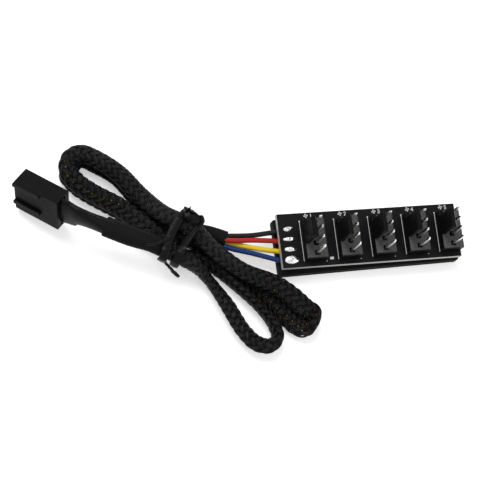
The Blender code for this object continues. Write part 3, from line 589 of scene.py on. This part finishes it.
over_sleeve = (SLEEVE_WIDTH + 2 * SHRINK_WALL, SLEEVE_THICK + 2 * SHRINK_WALL)
shrink_piece("hub_end_tubing", "hub_heat_shrink", 0.0, HUB_SHRINK_LENGTH, *over_sleeve, HUB_CREASE)
shrink_piece("plug_end_tubing", "sleeve_heat_shrink", sleeve_end, wire_shrink_start + SLEEVE_TUBE_OVER,
             *over_sleeve, PLUG_CREASE)
shrink_piece("wire_tubing", "wire_heat_shrink", wire_shrink_start - WIRE_TUBE_UNDER, route_length,
             WIRE_SHRINK_WIDTH, WIRE_SHRINK_THICK, PLUG_CREASE, (FLARE_THICK, FLARE_WIDTH))

# Wires inside the sleeve: the same four PVC-coated wires run on through it, loosely
# twisted together. Specks of their colours show where the braid opens.

TWIST_LENGTH = 0.097
TWIST_START = 0.595
CORE_STEP = 0.0009
CORE_RADIUS = 0.00055
CORE_SPREAD = (0.00140, 0.00052)
CORE_ROUNDNESS = 8
SLEEVE_UNDER_TUBING = 0.0012
SLEEVE_STEP = 0.00024
sleeve_path = resampled(between(route, HUB_SHRINK_LENGTH - SLEEVE_UNDER_TUBING,
                                sleeve_end + SLEEVE_UNDER_TUBING), SLEEVE_STEP)
core_path = resampled(sleeve_path, CORE_STEP)
core_wide, core_thin = ring_frames(core_path)
core_walked = np.arange(len(core_path)) * CORE_STEP
for index, wire_name in enumerate(WIRE_NAMES):
    turn = 2 * math.pi * (core_walked / TWIST_LENGTH + index / len(WIRE_NAMES) + TWIST_START)
    middle = (core_path[:, :3] + core_wide * (np.cos(turn) * CORE_SPREAD[0] * core_path[:, 4])[:, None]
              + core_thin * (np.sin(turn) * CORE_SPREAD[1] * core_path[:, 4])[:, None])
    wire_piece("core_wire_" + wire_name, middle, wire_name, CORE_RADIUS, CORE_ROUNDNESS)

# Braided sleeve: flat bundles of three black polyester filaments, eight each way
# round, woven over and under each other into a tube that flattens over the wires.

# Painted shade darkens each bundle where it dips under another and towards its edges, and painted
# highlight lightens each filament's crest. The strong mottle of the finish gives random tone and also
# painted highlight strokes on some bundles.
CARRIERS = 8
LAY_LENGTH = 0.0165
WEAVE_DEPTH = 0.00011
EDGE_DROP = 0.00011
SWING = 1.4
BRAID_COLOUR = (0.013, 0.013, 0.014)
COVER = 1.06
TIP_OPENNESS = 0.30
LOOP_TIPS = ((-0.0705, 0.0190, 0.0052), (-0.0235, -0.0165, 0.0035))
TIP_REACH = 0.0125
ACROSS_BUNDLE = (-1, -0.6, 0, 0.6, 1)
FILAMENTS = 3
FILAMENT_DEPTH = 0.00012
FILAMENT_WANDER = 0.4
FILAMENT_PAINTED_LIGHT = (0.45, 1.6)
PAINTED_SHADE_LIFT = 0.45
DIP_PAINTED_SHADE = 0.16
EDGE_PAINTED_SHADE = 0.45
WEAVE_SHIFT = 0.25
COVER_WAVES = ((0.04, 310, 0), (0.03, 730, 2))
OVAL_SAMPLES = 721


def braid_finish():
    """Filaments side by side across each bundle, with painted shade where it dips under another and
    painted highlight on each filament's crest.
    """
    made = surface("black_monofilament", BRAID_COLOUR, roughness=0.28, mottle=0.9, grain=0.3,
                   mottle_size=0.0015, grain_size=0.0003, grain_depth=0.00001, shine=0.07)
    nodes, links = made.node_tree.nodes, made.node_tree.links
    shader = nodes["Principled BSDF"]
    across = nodes.new("ShaderNodeUVMap")
    across.uv_map = "bundle"
    filaments = nodes.new("ShaderNodeTexWave")
    filaments.wave_type = "BANDS"
    filaments.bands_direction = "X"
    filaments.wave_profile = "SIN"
    filaments.inputs["Scale"].default_value = FILAMENTS * math.pi / 10
    filaments.inputs["Distortion"].default_value = FILAMENT_WANDER
    links.new(across.outputs["UV"], filaments.inputs["Vector"])
    ridges = nodes.new("ShaderNodeBump")
    ridges.inputs["Strength"].default_value = 0.9
    ridges.inputs["Distance"].default_value = FILAMENT_DEPTH
    links.new(filaments.outputs["Fac"], ridges.inputs["Height"])
    links.new(ridges.outputs["Normal"], shader.inputs["Normal"])
    # The lift layer holds the painted shade of each point of a bundle.
    lift = nodes.new("ShaderNodeUVMap")
    lift.uv_map = "lift"
    split = nodes.new("ShaderNodeSeparateXYZ")
    links.new(lift.outputs["UV"], split.inputs["Vector"])
    # Painted shade: the colour darkens where the bundle dips under another.
    depth = nodes.new("ShaderNodeMapRange")
    depth.interpolation_type = "SMOOTHSTEP"
    depth.inputs["From Min"].default_value = PAINTED_SHADE_LIFT
    depth.inputs["To Min"].default_value = DIP_PAINTED_SHADE
    links.new(split.outputs["X"], depth.inputs["Value"])
    # Painted highlight on each filament's crest, painted shade between the filaments.
    filament_painted_light = nodes.new("ShaderNodeMapRange")
    filament_painted_light.inputs["To Min"].default_value = FILAMENT_PAINTED_LIGHT[0]
    filament_painted_light.inputs["To Max"].default_value = FILAMENT_PAINTED_LIGHT[1]
    links.new(filaments.outputs["Fac"], filament_painted_light.inputs["Value"])
    painted_light_factor = nodes.new("ShaderNodeMath")
    painted_light_factor.operation = "MULTIPLY"
    links.new(depth.outputs["Result"], painted_light_factor.inputs[0])
    links.new(filament_painted_light.outputs["Result"], painted_light_factor.inputs[1])
    shade = nodes.new("ShaderNodeMix")
    shade.data_type = "RGBA"
    shade.blend_type = "MULTIPLY"
    shade.inputs["Factor"].default_value = 1.0
    links.new(shader.inputs["Base Color"].links[0].from_socket, shade.inputs["A"])
    links.new(painted_light_factor.outputs["Value"], shade.inputs["B"])
    links.new(shade.outputs["Result"], shader.inputs["Base Color"])
    return made


def bundle_strip(way, index, path, wide, thin, walked, cover):
    """One bundle, five points across and as wide as its share of the way round, with the painted shade of
    each point.
    """
    spin = 2 * math.pi / LAY_LENGTH
    crossing = spin * walked * CARRIERS / math.pi
    lift = np.clip(SWING * way * np.cos(math.pi * (index + way * crossing / 2 + WEAVE_SHIFT)), -1, 1)
    strip = []
    painted_shade_rows = []
    for across in ACROSS_BUNDLE:
        turn = 2 * math.pi * index / CARRIERS + way * spin * walked + across * math.pi / CARRIERS * cover
        angle = np.interp(turn, even_turn, even_turn_angle, period=2 * math.pi)
        drop = WEAVE_DEPTH * (1 - lift) + EDGE_DROP * across ** 2
        strip.append(path[:, :3] + wide * (np.cos(angle) * (SLEEVE_WIDTH / 2 * path[:, 4] - drop))[:, None]
                     + thin * (np.sin(angle) * (SLEEVE_THICK / 2 * path[:, 4] - drop))[:, None])
        # Painted shade: low where the bundle dips, and lower towards its edges.
        painted_shade_rows.append((lift + 1) / 2 - EDGE_PAINTED_SHADE * across ** 2)
    return np.stack(strip, axis=1), np.stack(painted_shade_rows, axis=1)


round_oval = np.linspace(0, 2 * math.pi, OVAL_SAMPLES)
oval_speed = np.hypot(SLEEVE_WIDTH * np.sin(round_oval), SLEEVE_THICK * np.cos(round_oval))
even_turn = np.r_[0, np.cumsum((oval_speed[1:] + oval_speed[:-1]) / 2)]
even_turn = even_turn[:-1] * 2 * math.pi / even_turn[-1]
even_turn_angle = round_oval[:-1]
sleeve_wide, sleeve_thin = ring_frames(sleeve_path)
wander = np.arange(len(sleeve_path)) * SLEEVE_STEP
near_tip = np.zeros(len(sleeve_path))
for tip in LOOP_TIPS:
    away = np.linalg.norm(sleeve_path[:, :3] - np.array(tip), axis=1)
    near_tip = np.maximum(near_tip, np.exp(-(away / TIP_REACH) ** 4))
cover = COVER - TIP_OPENNESS * near_tip
for size, pace, shift in COVER_WAVES:
    cover += size * np.sin(wander * pace + shift)
bundles = [bundle_strip(way, index, sleeve_path, sleeve_wide, sleeve_thin, wander, cover)
           for way in (1, -1) for index in range(CARRIERS)]
braid_verts = np.concatenate([strip.reshape(-1, 3) for strip, painted_shade_rows in bundles])
braid_painted_shade = np.concatenate([painted_shade_rows.ravel() for strip, painted_shade_rows in bundles])
braid_faces = []
row_size = len(ACROSS_BUNDLE)
for number in range(len(bundles)):
    for k in range(len(sleeve_path) - 1):
        low = (number * len(sleeve_path) + k) * row_size
        for corner in range(low, low + row_size - 1):
            braid_faces.append((corner, corner + 1, corner + row_size + 1, corner + row_size))
braid_mesh = bpy.data.meshes.new("woven_sleeve")
braid_mesh.from_pydata([tuple(v) for v in braid_verts], [], braid_faces)
corner_vertex = np.empty(len(braid_mesh.loops), dtype=int)
braid_mesh.loops.foreach_get("vertex_index", corner_vertex)
across_uv = np.tile((np.array(ACROSS_BUNDLE) + 1) / 2, len(sleeve_path) * len(bundles))
along_uv = np.tile(np.repeat(wander * 1000, row_size), len(bundles))
# The lift layer carries each point's painted shade.
for layer_name, first, second in (("bundle", across_uv, along_uv), ("lift", braid_painted_shade, along_uv)):
    corners = np.column_stack([first[corner_vertex], second[corner_vertex]])
    layer = braid_mesh.uv_layers.new(name=layer_name)
    layer.data.foreach_set("uv", corners.astype(np.float32).ravel())
braid_mesh.shade_smooth()
sleeve = put_in_scene("woven_sleeve", braid_mesh)
clothe(sleeve, braid_finish())
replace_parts(sleeve, "braided_sleeve")

# Plug wires: the same four wires fan out side by side inside the flared tubing and
# go straight into the plug, each into its own way, to its crimped terminal.

PLUG_CENTRE = Vector((-0.0844, 0.0150, 0.00743))
PLUG_TURN = (math.radians(15.1), math.radians(19.0), math.radians(141.3))
PLUG_LENGTH = 0.0129
PIN_PITCH = 0.00254
WIRE_DEPTH = 0.0032
WIRE_BARE = 0.0001
PLUG_WIRE_STEP = 0.00022
housing_turn = Matrix.Identity(3)
for angle, axis in zip(PLUG_TURN, "XYZ"):
    housing_turn = Matrix.Rotation(angle, 3, axis) @ housing_turn
for index, wire_name in enumerate(WIRE_NAMES):
    way_z = ((PIN_COUNT - 1) / 2 - index) * PIN_PITCH
    rear = -PLUG_LENGTH / 2
    points = [PLUG_CENTRE + housing_turn @ Vector((x, 0, way_z))
              for x in (rear + WIRE_DEPTH, rear - WIRE_BARE)]
    run = resampled(np.array([tuple(point) for point in points]), PLUG_WIRE_STEP)
    wire = wire_piece("plug_lead_" + wire_name, run, wire_name)
    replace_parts(wire, "plug_wire_" + wire_name)

# Plug: a black nylon housing with two keying ribs and a window over each of its
# four ways. A tinned terminal is crimped to each wire and latched inside.

PLUG_EDGE = 0.00016
plug = eased_copy("plug_housing", "plug_body", PLUG_EDGE)
clothe(plug, nylon)
for number in range(PIN_COUNT):
    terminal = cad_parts["plug_terminal_%d" % (number + 1)]
    clothe(terminal, tin)

# Cable tie: a flat black plastic ribbon with an iron wire in it, wound nearly twice
# round the bundle by hand. Both ends are free, the longer one pointing down, and it
# is creased into a short fold on top, with a thin torn wisp of plastic.

TIE_WIDTH = 0.0022
TIE_THICK = 0.0008
TIE_SIDES = 20
TIE_STEP = 0.00018
TIE_CURVE_STEPS = 10
TIE_SHARP_ABOVE = math.radians(60)
WIRE_BULGE = 0.35
WIRE_BULGE_HALF = 0.0003
CRUMPLE = ((0.00005, 2.1, 0), (0.00004, 4.7, 1))
TIE_SQUARENESS = (0.55, 0.75)
TIE_ENDS = (0.62, 0.86, 0.97)
TIE_COLOUR = (0.005, 0.005, 0.0055)
BUNDLE_WAY = np.array([0.87, -0.50, 0.0]) / math.hypot(0.87, 0.50)
FOLD_WAY = np.array([0.5, 0.87, 0.0])
TIE_ROUTE = [
    (-49.3, 9.6, 11.0, 0, 1.0), (-48.4, 9.0, 11.4, 20, 1.3), (-46.9, 8.1, 11.0, 30, 1.0),
    (-45.7, 7.1, 10.4, 40, 1.0), (-45.4, 5.6, 10.5, 50, 1.0), (-47.7, 3.4, 11.0, 50, 1.0),
    (-50.1, 0.5, 10.7, 40, 1.0), (-51.8, -2.2, 10.2, 10, 1.0), (-52.8, -4.2, 7.7, 0, 1.0),
    (-52.4, -3.3, 4.0, 0, 1.0), (-51.7, -2.3, 1.4, 0, 1.0), (-51.0, -0.8, 0.6, 0, 1.0),
    (-50.0, 2.0, 0.6, 0, 1.0), (-49.3, 5.2, 0.6, 0, 1.0), (-48.3, 8.0, 0.6, 0, 1.0),
    (-47.4, 9.7, 2.2, 0, 1.0), (-47.3, 10.0, 5.0, 0, 1.0), (-48.1, 9.6, 8.1, 0, 1.0),
    (-49.9, 7.9, 10.0, 0, 1.0), (-51.7, 5.8, 10.4, 0, 1.0), (-53.4, 3.1, 10.5, 0, 1.0),
    (-54.7, 0.3, 10.9, 0, 1.0), (-55.9, -2.7, 9.8, 0, 1.0), (-55.9, -2.5, 6.3, 0, 1.0),
    (-54.8, -2.1, 4.2, 30, 0.9), (-53.4, -3.5, 2.8, 60, 0.8), (-51.0, -6.3, 2.2, 60, 0.6),
]
TIE_FOLD = [
    (-49.6, 8.0, 11.0, 0, 1.0), (-48.2, 7.6, 11.4, 0, 1.0), (-46.7, 6.7, 11.2, 0, 1.0),
    (-46.0, 5.2, 10.6, 0, 0.8),
]
TIE_WISP = [
    (-60.2, 0.6, 11.6, 0, 0.3), (-58.2, 0.5, 11.8, 0, 0.3), (-55.8, 1.2, 11.6, 0, 0.4),
    (-53.4, 2.4, 11.3, 0, 0.5),
]

tie_plastic = surface("black_tie_plastic", TIE_COLOUR, roughness=0.32, mottle=0.2, grain=0.3,
                      mottle_size=0.002, grain_size=0.0003, grain_depth=0.00002, shine=0.08)


def tie_band(name, points, across):
    """A ribbon with a raised middle and a slight crumple along chosen points."""
    path = resampled(smooth_path(in_metres(points), TIE_CURVE_STEPS), TIE_STEP)
    way = np.gradient(path[:, :3], axis=0)
    way /= np.linalg.norm(way, axis=1)[:, None]
    along = across - way * (way @ across)[:, None]
    along /= np.linalg.norm(along, axis=1)[:, None]
    out = np.cross(way, along)
    lean = np.radians(path[:, 3])[:, None]
    wide = along * np.cos(lean) + out * np.sin(lean)
    flat = out * np.cos(lean) - along * np.sin(lean)
    full = np.ones((len(path), 1))
    full[:len(TIE_ENDS), 0] = TIE_ENDS
    full[-len(TIE_ENDS):, 0] = TIE_ENDS[::-1]
    steps = (np.arange(len(path)) * TIE_STEP * 1000)[:, None]
    crumple = sum(size * np.sin(steps * pace + shift) for size, pace, shift in CRUMPLE)
    rings = []
    for side in range(TIE_SIDES):
        angle = 2 * math.pi * side / TIE_SIDES
        x = math.copysign(abs(math.cos(angle)) ** TIE_SQUARENESS[0], math.cos(angle)) * TIE_WIDTH / 2
        y = math.copysign(abs(math.sin(angle)) ** TIE_SQUARENESS[1], math.sin(angle)) * TIE_THICK / 2
        y *= (1 + WIRE_BULGE * math.exp(-(x / WIRE_BULGE_HALF) ** 2)) / (1 + WIRE_BULGE)
        rings.append(path[:, :3] + wide * (x * path[:, 4:5] * full) + flat * (y * full + crumple))
    verts = np.stack(rings, axis=1).reshape(-1, 3)
    faces = []
    for k in range(len(path) - 1):
        for side in range(TIE_SIDES):
            after = (side + 1) % TIE_SIDES
            low = k * TIE_SIDES
            faces.append((low + side, low + after, low + TIE_SIDES + after, low + TIE_SIDES + side))
    faces.append(tuple(range(TIE_SIDES - 1, -1, -1)))
    faces.append(tuple(range(len(verts) - TIE_SIDES, len(verts))))
    mesh = bpy.data.meshes.new(name)
    mesh.from_pydata([tuple(v) for v in verts], [], faces)
    mesh.shade_smooth()
    mesh.set_sharp_from_angle(angle=TIE_SHARP_ABOVE)
    band = put_in_scene(name, mesh)
    clothe(band, tie_plastic)
    return band


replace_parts(tie_band("wire_tie", TIE_ROUTE, BUNDLE_WAY), "cable_tie")
tie_band("tie_fold", TIE_FOLD, FOLD_WAY)
tie_band("tie_wisp", TIE_WISP, FOLD_WAY)

# Floor, light and camera: a plain white sweep under soft studio light, seen from
# above and to the left.

FLOOR_HALF = 3
FLOOR_Z = -0.00003
FLOOR_COLOUR = (0.85, 0.85, 0.85, 1)
FLOOR_LIFT = 0.45
ROOM_STRENGTH = 0.55
SEEN_STRENGTH = 1.0
LIGHTS_AIM = (-0.03, 0, 0)
KEY_LIGHT = {"place": (-0.25, 0.45, 0.75), "size": 0.45, "watts": 5.5}
FILL_LIGHT = {"place": (0.6, -0.4, 0.5), "size": 0.5, "watts": 1.5}
CAMERA_PLACE = (-0.1233148, -0.0868215, 0.3699279)
CAMERA_LENS = 108.0


def seen_white(nodes, links):
    """One where the camera or a mirror-like surface looks, for a white surround."""
    rays = nodes.new("ShaderNodeLightPath")
    seen = rays.outputs["Is Camera Ray"]
    for kind in ("Is Glossy Ray", "Is Transmission Ray"):
        either = nodes.new("ShaderNodeMath")
        either.operation = "MAXIMUM"
        links.new(seen, either.inputs[0])
        links.new(rays.outputs[kind], either.inputs[1])
        seen = either.outputs["Value"]
    return seen


floor_mesh = bpy.data.meshes.new("floor")
floor_corners = ((-1, -1), (1, -1), (1, 1), (-1, 1))
floor_mesh.from_pydata([(x * FLOOR_HALF, y * FLOOR_HALF, FLOOR_Z) for x, y in floor_corners],
                       [], [(0, 1, 2, 3)])
floor = bpy.data.objects.new("floor", floor_mesh)
bpy.context.scene.collection.objects.link(floor)
floor_paint = bpy.data.materials.new("white_floor")
floor_paint.use_nodes = True
paint_nodes, paint_links = floor_paint.node_tree.nodes, floor_paint.node_tree.links
paint = paint_nodes["Principled BSDF"]
paint.inputs["Base Color"].default_value = FLOOR_COLOUR
paint.inputs["Roughness"].default_value = 0.9
paint.inputs["Specular IOR Level"].default_value = 0.1
paint.inputs["Emission Color"].default_value = (1, 1, 1, 1)
lift = paint_nodes.new("ShaderNodeMath")
lift.operation = "MULTIPLY"
lift.inputs[1].default_value = FLOOR_LIFT
paint_links.new(seen_white(paint_nodes, paint_links), lift.inputs[0])
paint_links.new(lift.outputs["Value"], paint.inputs["Emission Strength"])
floor_mesh.materials.append(floor_paint)

world = bpy.data.worlds.new("studio")
bpy.context.scene.world = world
world.use_nodes = True
world_nodes, world_links = world.node_tree.nodes, world.node_tree.links
backdrop = world_nodes["Background"]
backdrop.inputs["Color"].default_value = (1, 1, 1, 1)
level = world_nodes.new("ShaderNodeMapRange")
level.inputs["To Min"].default_value = ROOM_STRENGTH
level.inputs["To Max"].default_value = SEEN_STRENGTH
world_links.new(seen_white(world_nodes, world_links), level.inputs["Value"])
world_links.new(level.outputs["Result"], backdrop.inputs["Strength"])


def softbox(name, place, aim, size, watts):
    """A square soft light turned to the object."""
    lamp = bpy.data.lights.new(name, "AREA")
    lamp.shape = "SQUARE"
    lamp.size = size
    lamp.energy = watts
    box = bpy.data.objects.new(name, lamp)
    bpy.context.scene.collection.objects.link(box)
    box.location = place
    box.rotation_euler = (Vector(aim) - Vector(place)).to_track_quat("-Z", "Y").to_euler()


softbox("key_softbox", aim=LIGHTS_AIM, **KEY_LIGHT)
softbox("fill_softbox", aim=LIGHTS_AIM, **FILL_LIGHT)

camera_data = bpy.data.cameras.new("camera")
camera_data.sensor_width = 36
camera_data.lens = CAMERA_LENS
camera = bpy.data.objects.new("camera", camera_data)
bpy.context.scene.collection.objects.link(camera)
camera_right = Vector((0.9694744, -0.1203372, 0.21363134))
camera_up = Vector((0.06635383, 0.96753131, 0.24388589))
camera_back = Vector((-0.23604355, -0.22226587, 0.94598167))
camera.matrix_world = Matrix.Translation(CAMERA_PLACE) @ Matrix(
    (camera_right, camera_up, camera_back)).transposed().to_4x4()
bpy.context.scene.camera = camera
bpy.context.scene.view_settings.view_transform = "Standard"
